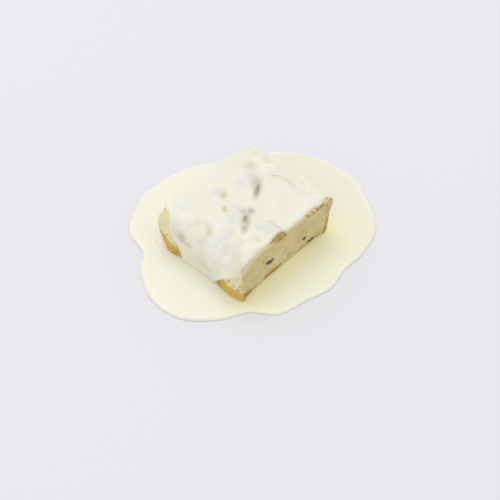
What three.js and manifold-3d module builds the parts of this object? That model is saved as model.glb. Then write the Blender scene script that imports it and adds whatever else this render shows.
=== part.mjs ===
// A slice of quark strudel with vanilla sauce, in millimetres, +Z up.
// The roll of the strudel runs along X. +X is the knife cut that shows the filling, -X the cut
// that the sauce runs over, and -Y and +Y are the baked sides of the roll. The origin is in the
// middle of the slice's flat underside.
import * as THREE from "three";
import { mergeVertices } from "three/addons/utils/BufferGeometryUtils.js";
import Module from "manifold-3d";

const wasm = await Module();
wasm.setup();

// The slice
const SHOWN_CUT = 36; // X of the shown cut, in the middle of its width
const HIDDEN_CUT = -38; // X of the cut under the sauce
const HALF_WIDTH = 43; // half of the roll's width
const HEIGHT = 30.5; // from the underside to the pastry's top
const NEAR_RADIUS = 8.5; // rounding of the roll's upper long edge on the -Y side
const FAR_RADIUS = 5; // and on the +Y side
const BOTTOM_RADIUS = 4;
const PASTRY = 2.2; // thickness of the baked pastry
const PASTRY_PROUD = 0.4; // how far the crisp pastry stands out of the cut filling
const GAP = 0.3; // clearance between neighbouring pieces

// How the slice has sagged and spread
const CORNER_FLARE = 3.4; // how far the pastry's corners stand out of the shown cut
const FLARE_POWER = 6; // how close to the corners the cut starts to flare
const FLARE_START = 18; // X from which the pastry flares
const FOOT_INSET = 2.6; // how far the +Y side leans in at its foot
const CROWN = 0.9; // rise of the top in its middle
// Each corner's own change, at full height: out along X and Y, up, and how far it reaches.
const CORNERS = [
  { x: 40, y: -43, out: [0, 0], up: -5.2, reach: 13 }, // the corner nearest the eye
  { x: -38, y: 43, out: [4, 2], up: -6.2, reach: 12 }, // the folded far corner
  { x: -38, y: -43, out: [0, 0], up: -1.4, reach: 11 },
  { x: 40, y: 45, out: [0.6, 2.0], up: 2.4, reach: 6 }, // the crisp curl of pastry
];
const LEFT_FOOT = { x: -38, y: -43, in: 4.6, reach: 10, height: 11 }; // its rounded low corner

// The sauce that lies on the slice
const COAT = 1.3; // its usual thickness
const COAT_FOOT = 3.0; // height at which it ends, just over the pool
const FOOT_FILLET = 2.4; // extra thickness where it runs into the pool
const PLEATS = [
  { y: 40.4, slope: -0.13, from: -35, to: 27, height: 1.7, width: 1.9 },
  { y: 33.4, slope: 0.04, from: -10, to: 22, height: 1.1, width: 1.9 },
  { y: -0.5, slope: -0.07, from: 16, to: 40, height: 0.8, width: 2.2 },
  { y: 27.5, slope: -0.05, from: -36, to: -14, height: 0.8, width: 2.6 },
];
const LUMPS = [
  { x: -6.6, y: 18, height: 1.6, reach: 4.8 }, // raisins under the sauce
  { x: 9.1, y: -7.9, height: 1.6, reach: 5 },
  { x: 23.8, y: -9, height: 0.8, reach: 6.5 },
  { x: -17.6, y: -23.6, height: 0.9, reach: 6 },
  { x: 17.7, y: -26, height: 1.0, reach: 5.5 },
  { x: -21.7, y: 28, height: -0.7, reach: 5.5 }, // a hollow behind the far fold
  { x: -9.8, y: -10, height: -0.5, reach: 4.5 },
  { x: 1.3, y: -33.4, height: -0.5, reach: 4.5 },
];
const SMALL_LUMPS = 26;
const SMALL_LUMP_SEED = 7;

// The pool of sauce: its reach in millimetres at bearings in degrees from +X towards +Y
const POOL_REACH = [
  [-170, 78.4], [-157, 78.6], [-140, 78.2], [-123, 69.4], [-110, 76], [-92, 81.8], [-76, 81.4],
  [-59, 73.3], [-43, 65.5], [-28, 70.6], [-11, 68.8], [5, 72.6], [20, 72.6], [33, 80.6],
  [50, 89.6], [75, 92.4], [95, 90.3], [112, 84.8], [130, 77.5], [150, 71.6], [168, 75],
];
const POOL_DEPTH = 2.6;
const POOL_EDGE = 2.4; // width of the rounded edge

// Raisins that the knife uncovered, on the shown cut
const RAISINS = [
  { name: "raisin_middle", y: -15.4, z: 16.4, long: 5.2, wide: 2.7, tilt: -8 },
  { name: "raisin_low", y: 26.4, z: 6.0, long: 4.0, wide: 2.1, tilt: 8 },
  { name: "raisin_small", y: 19, z: 11.6, long: 2.4, wide: 2.0, tilt: 30 },
];
const RAISIN_OUT = 1.0; // how far a raisin's middle stands out of the cut
const CURDS = 70; // lumps of quark that stand out of the shown cut
const CURD_SEED = 11;

const clamp = THREE.MathUtils.clamp;
const lerp = THREE.MathUtils.lerp;
const square = (value) => value * value;
const bell = (distance, reach) => Math.exp(-square(distance / reach));
const ramp = (value, from, to) => THREE.MathUtils.smoothstep(value, from, to);

// Repeatable random numbers from 0 to 1.
function randomFrom(seed) {
  let state = seed;
  return () => {
    state = (state * 16807) % 2147483647;
    return state / 2147483647;
  };
}

// Moves a point of the plain block to where it is in the sagged slice.
function sag(x, y, z) {
  const side = clamp(y / HALF_WIDTH, -1, 1);
  const level = clamp(z / HEIGHT, 0, 1.1);
  const flare = CORNER_FLARE * Math.abs(side) ** FLARE_POWER;
  const spread = ramp(x, FLARE_START, SHOWN_CUT) - 0.3 * ramp(-x, FLARE_START, -HIDDEN_CUT);
  let dx = flare * spread;
  let dy = 0.5 * Math.sin(0.11 * x + 0.6) * square(side);
  dy -= FOOT_INSET * (1 - level) * Math.max(side, 0);
  let dz = CROWN * (1 - square(x / 44)) * (1 - square(y / 48));
  dz += 0.35 * Math.sin(0.13 * x + 1.1) * Math.sin(0.1 * y + 0.4);
  for (const corner of CORNERS) {
    const near = bell(Math.hypot(x - corner.x, y - corner.y), corner.reach);
    dx += corner.out[0] * near * square(level);
    dy += corner.out[1] * near * square(level);
    dz += corner.up * near;
  }
  const foot = LEFT_FOOT;
  const low = bell(Math.hypot(x - foot.x, y - foot.y), foot.reach) * bell(z, foot.height);
  dx += foot.in * low * 0.9;
  dy += foot.in * low * 0.45;
  return [x + dx, y + dy, z + dz * level];
}

// The pastry's shallow blisters, as an offset of its surface. The underside stays flat.
function blisters(x, y, z) {
  const wave = Math.sin(0.42 * x + 0.3 * z) * Math.sin(0.31 * y - 0.5 * z + 0.8);
  return 0.2 * wave * ramp(z, 0.2, 4);
}

// A point of the plain block, whose section in YZ is a rounded rectangle. end, across and up run
// from -1 to 1; out is the way out of the section.
function blockPoint(end, across, up, { back, front, inset = 0 }) {
  const halfWidth = HALF_WIDTH - inset;
  const halfHeight = HEIGHT / 2 - inset;
  const shell = Math.max(Math.abs(across), Math.abs(up), 1e-9);
  const y = (across / shell) * halfWidth;
  const z = (up / shell) * halfHeight;
  const upper = y > 0 ? FAR_RADIUS : NEAR_RADIUS;
  const radius = Math.max((z > 0 ? upper : BOTTOM_RADIUS) - inset, 1);
  const coreY = clamp(y, radius - halfWidth, halfWidth - radius);
  const coreZ = clamp(z, radius - halfHeight, halfHeight - radius);
  const out = new THREE.Vector2(y - coreY, z - coreZ).normalize();
  return {
    x: lerp(back, front, (end + 1) / 2),
    y: (coreY + out.x * radius) * shell,
    z: HEIGHT / 2 + (coreZ + out.y * radius) * shell,
    shell,
    out,
  };
}

// The block's faces split into a grid and moved out by offset(x, y, z), then sagged. The offset
// is given 1 on the shown cut, -1 on the hidden cut and 0 elsewhere as its last value.
function roundedBlock({ grid, offset = () => 0, ...size }) {
  const box = new THREE.BoxGeometry(2, 2, 2, ...grid);
  box.deleteAttribute("normal");
  box.deleteAttribute("uv");
  const geometry = mergeVertices(box, 1e-4);
  const position = geometry.getAttribute("position");
  for (let i = 0; i < position.count; i++) {
    const end = position.getX(i);
    const point = blockPoint(end, position.getY(i), position.getZ(i), size);
    const onSide = point.shell > 1 - 1e-6 ? 1 : 0;
    const onEnd = Math.abs(end) > 1 - 1e-6 ? Math.sign(end) : 0;
    const push = offset(point.x, point.y, point.z, onEnd * (1 - onSide));
    const y = point.y + push * onSide * point.out.x;
    const z = point.z + push * onSide * point.out.y;
    position.setXYZ(i, ...sag(point.x + push * onEnd, y, z));
  }
  return geometry;
}

function solid(geometry) {
  const bare = new THREE.BufferGeometry();
  bare.setAttribute("position", geometry.getAttribute("position"));
  bare.setIndex(geometry.getIndex());
  const merged = mergeVertices(bare, 1e-4);
  const vertProperties = new Float32Array(merged.getAttribute("position").array);
  const triVerts = new Uint32Array(merged.getIndex().array);
  return new wasm.Manifold(new wasm.Mesh({ numProp: 3, vertProperties, triVerts }));
}

const SMOOTHING = 0.02; // how far flat runs of triangles may move when they are joined

function geometryOf(body) {
  const mesh = body.simplify(SMOOTHING).getMesh();
  const geometry = new THREE.BufferGeometry();
  geometry.setAttribute("position", new THREE.BufferAttribute(mesh.vertProperties, 3));
  geometry.setIndex(new THREE.BufferAttribute(mesh.triVerts, 1));
  geometry.computeVertexNormals();
  return geometry;
}

// The skin over a grid of points, the closed rings that lead on from the grid's edge, and a last
// point that shuts it. The edge of the grid is the first ring.
function gridAndRingsSkin({ columns, rows, gridPoint, rings, last }) {
  const points = [];
  const faces = [];
  for (let row = 0; row <= rows; row++) {
    for (let column = 0; column <= columns; column++) {
      points.push(gridPoint((2 * column) / columns - 1, (2 * row) / rows - 1));
    }
  }
  const onGrid = (column, row) => row * (columns + 1) + column;
  for (let row = 0; row < rows; row++) {
    for (let column = 0; column < columns; column++) {
      const corner = onGrid(column, row);
      const above = onGrid(column, row + 1);
      faces.push(corner, corner + 1, above + 1, corner, above + 1, above);
    }
  }
  const range = (count) => Array.from({ length: count }, (_, i) => i);
  let edge = [
    ...range(rows).map((i) => onGrid(columns, i)),
    ...range(columns).map((i) => onGrid(columns - i, rows)),
    ...range(rows).map((i) => onGrid(0, rows - i)),
    ...range(columns).map((i) => onGrid(i, 0)),
  ];
  for (const ring of rings) {
    const start = points.length;
    points.push(...ring);
    const next = ring.map((_, i) => start + i);
    edge.forEach((inner, i) => {
      const j = (i + 1) % edge.length;
      faces.push(inner, next[i], next[j], inner, next[j], edge[j]);
    });
    edge = next;
  }
  points.push(last);
  edge.forEach((from, i) => faces.push(points.length - 1, edge[(i + 1) % edge.length], from));
  const geometry = new THREE.BufferGeometry();
  geometry.setAttribute("position", new THREE.Float32BufferAttribute(points.flat(), 3));
  geometry.setIndex(faces);
  return geometry;
}

const wholeSlice = {
  back: HIDDEN_CUT - PASTRY_PROUD,
  front: SHOWN_CUT + PASTRY_PROUD,
  grid: [16, 20, 7],
};

// The whole slice as one block, a little larger all round: what the sauce is cut by.
function sliceWithClearance() {
  const offset = (x, y, z) => blisters(x, y, z) + GAP;
  return solid(roundedBlock({ ...wholeSlice, offset }));
}

function pastryGeometry() {
  const outer = roundedBlock({ ...wholeSlice, offset: blisters });
  const bore = roundedBlock({
    back: HIDDEN_CUT - 1,
    front: SHOWN_CUT + 1,
    inset: PASTRY,
    grid: [10, 24, 8],
  });
  return geometryOf(solid(outer).subtract(solid(bore)));
}

// Lumps scattered by a seeded draw over a stretch of two directions.
function scatter({ count, seed, from, to, height, reach }) {
  const random = randomFrom(seed);
  return Array.from({ length: count }, () => ({
    x: lerp(from[0], to[0], random()),
    y: lerp(from[1], to[1], random()),
    height: lerp(height[0], height[1], random()),
    reach: lerp(reach[0], reach[1], random()),
  }));
}

function sumOfLumps(lumps, x, y) {
  let sum = 0;
  for (const l of lumps) sum += l.height * bell(Math.hypot(x - l.x, y - l.y), l.reach);
  return sum;
}

const curds = scatter({
  count: CURDS,
  seed: CURD_SEED,
  from: [-HALF_WIDTH, 0],
  to: [HALF_WIDTH, HEIGHT],
  height: [-0.55, 0.55],
  reach: [2.2, 4.5],
});

function crumb(x, y, z, onEnd) {
  return clamp(sumOfLumps(curds, y, z), -0.8, 0.8) * Math.max(onEnd, 0);
}

function raisinGeometry({ y, z, long, wide, tilt }, grow = 0) {
  const geometry = new THREE.IcosahedronGeometry(1, 2);
  const point = new THREE.Vector3();
  const position = geometry.getAttribute("position");
  for (let i = 0; i < position.count; i++) {
    point.fromBufferAttribute(position, i).normalize();
    const furrow = Math.abs(Math.sin(4 * Math.atan2(point.z, point.x) + 2.2 * point.y + y));
    const swell = 1 - 0.16 * furrow * (1 - square(point.y));
    position.setXYZ(
      i,
      point.x * (wide * 0.9 * swell + grow),
      point.y * (long + grow),
      point.z * (wide * swell + grow),
    );
  }
  geometry.rotateX(THREE.MathUtils.degToRad(tilt));
  const [cutX] = sag(SHOWN_CUT, y, z);
  geometry.translate(cutX - wide * 0.9 + RAISIN_OUT, y, z);
  return geometry;
}

function fillingGeometry() {
  const block = roundedBlock({
    back: HIDDEN_CUT,
    front: SHOWN_CUT,
    inset: PASTRY + GAP,
    grid: [10, 24, 8],
    offset: crumb,
  });
  let filling = solid(block);
  for (const raisin of RAISINS) {
    filling = filling.subtract(solid(raisinGeometry(raisin, GAP)));
  }
  return geometryOf(filling);
}

// How far the sauce runs down each side of the slice, measured from its top edge. A negative
// run leaves a strip of the top bare.
const nearSideRun = (x) => 35 * (1 - square(x / 37.5)) - 9 * bell(x + 38, 6);
const farSideRun = (x) =>
  5 +
  31 * bell(x + 37, 9) +
  12 * bell(x + 9, 4) +
  30 * bell(x - 12, 5) +
  6 * bell(x - 27, 4) -
  10 * bell(x - 37, 5);
const hiddenCutRun = (y) => 36 - 45 * bell(y + HALF_WIDTH, 10);
const shownCutRun = (y) =>
  1.7 +
  0.8 * Math.sin(0.35 * y + 1) +
  0.4 * Math.sin(0.9 * y) -
  5 * bell(y + 6, 5.5) -
  4 * bell(y - 30, 5) -
  7 * bell(y - 44, 5) -
  2 * bell(y + 42, 4);

function runAt(a, b) {
  const x = a > 0 ? a * SHOWN_CUT : -a * HIDDEN_CUT;
  const onShort = Math.abs(a) > Math.abs(b);
  if (onShort) return a > 0 ? shownCutRun(b * HALF_WIDTH) : hiddenCutRun(b * HALF_WIDTH);
  return b > 0 ? farSideRun(x) : nearSideRun(x);
}

const lumps = [
  ...LUMPS,
  ...scatter({
    count: SMALL_LUMPS,
    seed: SMALL_LUMP_SEED,
    from: [HIDDEN_CUT, -HALF_WIDTH],
    to: [SHOWN_CUT, HALF_WIDTH],
    height: [0.2, 0.7],
    reach: [3, 6],
  }),
];

function coatThickness(x, y, z, run) {
  const onTop = ramp(z, HEIGHT - 8, HEIGHT - 1);
  let relief = sumOfLumps(lumps, x, y);
  for (const p of PLEATS) {
    const along = ramp(x, p.from, p.from + 6) * (1 - ramp(x, p.to - 6, p.to));
    relief += p.height * along * bell(y - p.y - p.slope * x, p.width);
  }
  const runs = 0.45 * (1 - onTop) * Math.sin(0.42 * x + 0.2) * Math.sin(0.36 * y + 0.7);
  const reachesPool = ramp(run, HEIGHT - 8, HEIGHT - 3);
  const fillet = reachesPool * FOOT_FILLET * Math.exp(-Math.max(z - COAT_FOOT, 0) / 3);
  return Math.max(COAT + relief * onTop + runs + fillet, 0.7);
}

// The edge of a square of the given grid, walked once round from its lower right corner.
function squareEdge(columns, rows) {
  const sides = [
    { steps: rows, at: (t) => [1, t] },
    { steps: columns, at: (t) => [-t, 1] },
    { steps: rows, at: (t) => [-1, -t] },
    { steps: columns, at: (t) => [t, -1] },
  ];
  return sides.flatMap(({ steps, at }) =>
    Array.from({ length: steps }, (_, i) => at((2 * i) / steps - 1)),
  );
}

// A point of the sauce's skin: distance past the slice's top edge along its bearing, negative on
// the top, and how thick the sauce is there. A negative share goes under the slice's surface.
function coatPoint([a, b], distance, share, run) {
  const t = clamp(1 + distance / Math.hypot(a * SHOWN_CUT, b * HALF_WIDTH), 0, 1);
  const down = clamp(distance, 0, HEIGHT + 1);
  const base = blockPoint(a * t, b * t, 1 - (2 * down) / HEIGHT, wholeSlice);
  const faceX = Math.sign(a) * ramp(Math.abs(a), 0.88, 1);
  const faceY = ramp(Math.abs(b), 0.88, 1);
  const turn = ramp(distance, -2, 2);
  const keep = 1 - turn * Math.abs(faceX) * (1 - faceY);
  const out = new THREE.Vector3(faceX * turn, base.out.x * keep, base.out.y * keep).normalize();
  const thick = GAP + 0.1 + share * coatThickness(base.x, base.y, base.z, run);
  const height = share < 0 ? share : thick;
  return sag(base.x + out.x * height, base.y + out.y * height, base.z + out.z * height);
}

function coatGeometry() {
  const columns = 24;
  const rows = 28;
  const edge = squareEdge(columns, rows);
  const rawRuns = edge.map(([a, b]) => clamp(runAt(a, b), -8, HEIGHT + 0.6));
  const runs = rawRuns.map((run, i) => {
    const before = rawRuns.at(i - 1);
    const after = rawRuns[(i + 1) % rawRuns.length];
    return (before + 2 * run + after) / 4;
  });
  const topEnd = (run) => Math.min(0, run - 3); // where the grid over the top ends
  // The grid's own squares keep their places, but near its edge they make room for a bare strip.
  const gridPoint = (u, v) => {
    const t = Math.max(Math.abs(u), Math.abs(v));
    if (t === 0) return coatPoint([1, 0], -SHOWN_CUT, 1, 0);
    const bearing = [u / t, v / t];
    const run = clamp(runAt(...bearing), -8, HEIGHT + 0.6);
    const reach = Math.hypot(bearing[0] * SHOWN_CUT, bearing[1] * HALF_WIDTH);
    const onEdge = edge.findIndex(([a, b]) => Math.hypot(a - u, b - v) < 1e-6);
    const end = topEnd(onEdge < 0 ? run : runs[onEdge]);
    return coatPoint(bearing, reach * (t - 1) + end * t ** 4, 1, run);
  };
  // Rings over the side as shares of the run, then round the sauce's edge as distances back from
  // it with a share of the thickness.
  const sideRings = [0.2, 0.45, 0.72];
  const lipRings = [
    [2.4, 1],
    [1.3, 0.92],
    [0.5, 0.66],
    [0.05, 0.25],
    [0, -0.5],
    [0.6, -1.2],
  ];
  const ringOf = (distanceAt, share) =>
    edge.map((bearing, i) => coatPoint(bearing, distanceAt(runs[i]), share, runs[i]));
  const rings = [
    ...sideRings.map((share) => ringOf((run) => lerp(topEnd(run), run - 2.4, share), 1)),
    ...lipRings.map(([back, share]) => ringOf((run) => run - back, share)),
  ];
  const last = sag(0, 0, HEIGHT / 2);
  const skin = solid(gridAndRingsSkin({ columns, rows, gridPoint, rings, last }));
  const slab = new THREE.BoxGeometry(240, 240, 20);
  slab.translate(0, 0, COAT_FOOT - 10);
  const sheet = skin.subtract(sliceWithClearance()).subtract(solid(slab));
  const pieces = sheet.decompose().sort((a, b) => b.volume() - a.volume());
  return geometryOf(pieces[0]);
}

// The pool's outline as a closed curve through its named reaches.
function poolOutline() {
  const points = POOL_REACH.map(([bearing, reach]) => {
    const angle = THREE.MathUtils.degToRad(bearing);
    return new THREE.Vector3(reach * Math.cos(angle), reach * Math.sin(angle), 0);
  });
  return new THREE.CatmullRomCurve3(points, true, "catmullrom", 0.5);
}

function poolGeometry() {
  const around = 100;
  const outline = poolOutline().getPoints(around).slice(0, around);
  // Each ring is a distance in from the outline and a share of the depth.
  const profile = [
    [POOL_EDGE + 7, 1],
    [POOL_EDGE, 0.93],
    [POOL_EDGE * 0.45, 0.76],
    [POOL_EDGE * 0.1, 0.45],
    [0, 0.15],
    [0.25, 0],
  ];
  const points = [0, 0, POOL_DEPTH];
  for (const [inward, share] of profile) {
    for (const p of outline) {
      const scale = 1 - inward / p.length();
      const wave = 0.15 * (1 + Math.sin(3 * Math.atan2(p.y, p.x) + 1));
      points.push(p.x * scale, p.y * scale, share * (POOL_DEPTH - wave));
    }
  }
  points.push(0, 0, 0);
  const last = points.length / 3 - 1;
  const faces = [];
  for (let i = 0; i < around; i++) {
    const j = (i + 1) % around;
    faces.push(0, 1 + i, 1 + j);
    for (let ring = 0; ring + 1 < profile.length; ring++) {
      const inner = 1 + ring * around;
      const outer = inner + around;
      faces.push(inner + i, outer + i, outer + j, inner + i, outer + j, inner + j);
    }
    faces.push(last, last - around + j, last - around + i);
  }
  const disc = new THREE.BufferGeometry();
  disc.setAttribute("position", new THREE.Float32BufferAttribute(points, 3));
  disc.setIndex(faces);
  return geometryOf(solid(disc).subtract(sliceWithClearance()));
}

function material(color, roughness) {
  return new THREE.MeshStandardMaterial({ color, roughness, metalness: 0 });
}

const pastryFinish = material(0xc29a58, 0.7);
const fillingFinish = material(0xe6dcae, 0.75);
const raisinFinish = material(0x4a2b22, 0.45);
const coatFinish = material(0xf1eee2, 0.3);
const poolFinish = material(0xf4efd2, 0.25);

const strudel = new THREE.Group();

function addPiece(name, geometry, finish) {
  const mesh = new THREE.Mesh(geometry, finish);
  mesh.name = name;
  strudel.add(mesh);
}

addPiece("pastry", pastryGeometry(), pastryFinish);
addPiece("quark_filling", fillingGeometry(), fillingFinish);
for (const raisin of RAISINS) addPiece(raisin.name, raisinGeometry(raisin), raisinFinish);
addPiece("sauce_coat", coatGeometry(), coatFinish);
addPiece("sauce_pool", poolGeometry(), poolFinish);

export default strudel;
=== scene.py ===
"""A slice of quark strudel under white vanilla sauce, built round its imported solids.

The shape functions work in millimetres in the part's own frame: +X is the shown cut, -X the cut
under the sauce, -Y and +Y the baked sides and +Z up. Finished meshes are in metres.
"""

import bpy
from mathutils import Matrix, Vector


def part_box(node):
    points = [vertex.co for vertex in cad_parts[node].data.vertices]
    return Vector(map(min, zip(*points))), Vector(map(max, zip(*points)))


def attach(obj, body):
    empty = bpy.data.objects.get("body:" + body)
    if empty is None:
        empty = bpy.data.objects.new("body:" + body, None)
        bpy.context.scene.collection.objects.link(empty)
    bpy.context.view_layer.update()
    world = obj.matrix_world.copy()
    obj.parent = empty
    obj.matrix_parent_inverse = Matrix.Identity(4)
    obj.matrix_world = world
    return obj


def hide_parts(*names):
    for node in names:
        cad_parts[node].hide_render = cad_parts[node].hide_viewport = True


bl_info = {
    "name": "Quark strudel",
    "version": (1, 0, 0),
    "blender": (4, 5, 0),
    "location": "3D View > Sidebar > Strudel",
    "description": "Builds a slice of quark strudel with vanilla sauce",
    "category": "Add Mesh",
}

import math

import bmesh
import bpy
from bpy.props import FloatProperty, FloatVectorProperty, PointerProperty
from mathutils import Vector, kdtree, noise

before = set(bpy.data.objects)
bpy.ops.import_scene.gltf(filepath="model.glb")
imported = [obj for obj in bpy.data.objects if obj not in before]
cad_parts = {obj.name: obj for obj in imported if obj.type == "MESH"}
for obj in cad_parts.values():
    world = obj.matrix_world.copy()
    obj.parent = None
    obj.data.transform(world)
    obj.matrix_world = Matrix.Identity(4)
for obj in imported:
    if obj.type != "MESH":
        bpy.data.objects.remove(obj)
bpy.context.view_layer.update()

MM = 0.001
NOTHING = 1e-9

# The plain block that the slice sags from
SHOWN_CUT = 36.0
HIDDEN_CUT = -38.0
HALF_WIDTH = 43.0
HEIGHT = 30.5
NEAR_RADIUS = 8.5
FAR_RADIUS = 5.0
BOTTOM_RADIUS = 4.0
FAR_BOTTOM_RADIUS = 7.0
# The ends of the pastry, which stands out of the quark
PASTRY_BACK = HIDDEN_CUT - 0.4
PASTRY_FRONT = SHOWN_CUT + 0.4

# How the slice has sagged and spread, like its solids
CORNER_FLARE = 3.4
# Share of the flare at the foot and at the top of each side, and at the hidden cut
NEAR_FLARE = (0.7, 0.5)
FAR_FLARE = (0.15, 0.85)
HIDDEN_FLARE = 0.3
FLARE_POWER = 6
FLARE_START = 18.0
FOOT_INSET = 2.6
# Rise of the top in its middle, and the half length and half width at which it would be gone
CROWN = 0.9
CROWN_LENGTH = 44
CROWN_WIDTH = 48
CORNERS = (
    {"x": 40, "y": -43, "out": (0, 0), "up": -5.2, "reach": 13},
    {"x": -38, "y": 43, "out": (6.5, 4.5), "up": -0.8, "reach": 12},
    {"x": -38, "y": -43, "out": (1.0, 0.9), "up": -1.4, "reach": 11},
    {"x": 40, "y": 45, "out": (0, 1.6), "up": 1.6, "reach": 6},
)
LEFT_FOOT = {"x": -38, "y": -43, "in": (3.78, 1.89), "reach": 10, "height": 11}
# Where the near side's foot bulges: place along the side, bulge and reach
FOOT_BULGES = ((25, 2.4, 10), (-27, 3.4, 8))
# How the shown cut's foot bulges: evenly, and most at one place along it
CUT_BULGE = {"even": 1.1, "most": 1.0, "y": -33, "reach": 10}
NEAR_TIP = {"x": 38, "y": -43, "in": 3.0, "reach": 5}
# The smallest rounding of a section that lies inside another
LEAST_RADIUS = 1.0


def clamp(value, low, high):
    return max(low, min(high, value))


def along(table, place):
    """The value at a place between a table's pairs of place and value."""
    for (low, first), (high, second) in zip(table, table[1:]):
        if place <= high:
            return lerp(first, second, clamp((place - low) / (high - low), 0, 1))
    return table[-1][1]


def bell(distance, reach):
    """1 at no distance, falling smoothly to a third at the reach and to nothing beyond it."""
    return math.exp(-((distance / reach) ** 2))


def ramp(value, low, high):
    """Rises smoothly from 0 at low to 1 at high."""
    t = clamp((value - low) / (high - low), 0.0, 1.0)
    return t * t * (3 - 2 * t)


def lerp(a, b, t):
    return a + (b - a) * t


def turned(x, y, degrees):
    """The two parts of a step after a turn."""
    cosine = math.cos(math.radians(degrees))
    sine = math.sin(math.radians(degrees))
    return x * cosine - y * sine, x * sine + y * cosine


def ripple(point, size, seed=0.0):
    """Smooth noise from -1 to 1 with bumps of about the given size."""
    return noise.noise(Vector(point) / size + Vector((seed, 2.7 * seed, -1.3 * seed)))


def near_spot(x, y, spot):
    """How near a place is to a spot, seen from above, from 1 down to 0."""
    return bell(math.hypot(x - spot["x"], y - spot["y"]), spot["reach"])


def sag(x, y, z):
    """Moves a point of the plain block to where it is in the sagged slice."""
    side = clamp(y / HALF_WIDTH, -1, 1)
    level = clamp(z / HEIGHT, 0, 1.1)
    low = max(1 - level, 0)
    by_cut = ramp(x, FLARE_START, SHOWN_CUT)
    foot_share, top_share = FAR_FLARE if side > 0 else NEAR_FLARE
    flare = CORNER_FLARE * abs(side) ** FLARE_POWER
    flare *= lerp(foot_share, top_share, min(level, 1))
    dx = flare * (by_cut - HIDDEN_FLARE * ramp(-x, FLARE_START, -HIDDEN_CUT))
    bulge = CUT_BULGE["even"] + CUT_BULGE["most"] * bell(y - CUT_BULGE["y"], CUT_BULGE["reach"])
    dx += bulge * by_cut * low**2
    # The sides wave slowly along the roll, and the top both ways
    dy = 0.5 * math.sin(0.11 * x + 0.6) * side**2
    dy -= FOOT_INSET * (1 - level) * max(side, 0)
    for place, bulge, reach in FOOT_BULGES:
        dy -= bulge * bell(x - place, reach) * low**1.5 * max(-side, 0) ** 4
    dy += NEAR_TIP["in"] * near_spot(x, y, NEAR_TIP) * low**2
    dz = CROWN * (1 - (x / CROWN_LENGTH) ** 2) * (1 - (y / CROWN_WIDTH) ** 2)
    dz += 0.35 * math.sin(0.13 * x + 1.1) * math.sin(0.1 * y + 0.4)
    for corner in CORNERS:
        near = near_spot(x, y, corner)
        dx += corner["out"][0] * near * level**2
        dy += corner["out"][1] * near * level**2
        dz += corner["up"] * near
    at_foot = near_spot(x, y, LEFT_FOOT) * bell(z, LEFT_FOOT["height"])
    dx += LEFT_FOOT["in"][0] * at_foot
    dy += LEFT_FOOT["in"][1] * at_foot
    return Vector((x + dx, y + dy, z + dz * level))


def block_point(end, across, up, inset=0.0, back=HIDDEN_CUT, front=SHOWN_CUT):
    """A point of the plain block and the way out of its rounded section.

    end, across and up run from -1 to 1.
    """
    half_width = HALF_WIDTH - inset
    half_height = HEIGHT / 2 - inset
    shell = max(abs(across), abs(up), NOTHING)
    y = across / shell * half_width
    z = up / shell * half_height
    upper = FAR_RADIUS if y > 0 else NEAR_RADIUS
    lower = FAR_BOTTOM_RADIUS if y > 0 else BOTTOM_RADIUS
    radius = max((upper if z > 0 else lower) - inset, LEAST_RADIUS)
    core_y = clamp(y, radius - half_width, half_width - radius)
    core_z = clamp(z, radius - half_height, half_height - radius)
    out = Vector((0.0, y - core_y, z - core_z)).normalized()
    x = lerp(back, front, (end + 1) / 2)
    y = (core_y + out.y * radius) * shell
    z = HEIGHT / 2 + (core_z + out.z * radius) * shell
    return Vector((x, y, z)), out


def srgb(red, green, blue):
    """A linear colour from the 0 to 255 values that a paint box shows."""

    def linear(value):
        value /= 255
        return value / 12.92 if value <= 0.04045 else ((value + 0.055) / 1.055) ** 2.4

    return (linear(red), linear(green), linear(blue), 1.0)


def colour_setting(name, description, value):
    return FloatVectorProperty(
        name=name, description=description, subtype="COLOR", size=4, min=0, max=1, default=value
    )


def length_setting(name, description, millimetres):
    return FloatProperty(
        name=name, description=description, default=millimetres * MM, min=0, unit="LENGTH"
    )


class STRUDEL_PG_pastry(bpy.types.PropertyGroup):
    """The baked pastry and its filling."""

    sheet: length_setting("Sheet", "Thickness of the outer sheet of dough", 0.8)
    wrinkle: length_setting("Wrinkles", "Depth of the baked wrinkles", 0.5)
    crumb: length_setting("Crumb", "Height of the curds on the shown cut", 0.55)
    golden: colour_setting("Golden", "Well baked pastry near the foot", srgb(208, 171, 82))
    pale: colour_setting("Pale", "Lightly baked pastry above", srgb(236, 225, 182))
    brown: colour_setting("Brown", "Toasted edges and blisters", srgb(172, 134, 58))
    quark: colour_setting("Quark", "The baked quark", srgb(217, 201, 149))
    raisin: colour_setting("Raisin", "Raisin skin", srgb(76, 68, 68))
    raisin_brown: colour_setting("Raisin flesh", "Cut and thin raisin skin", srgb(146, 110, 62))


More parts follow.
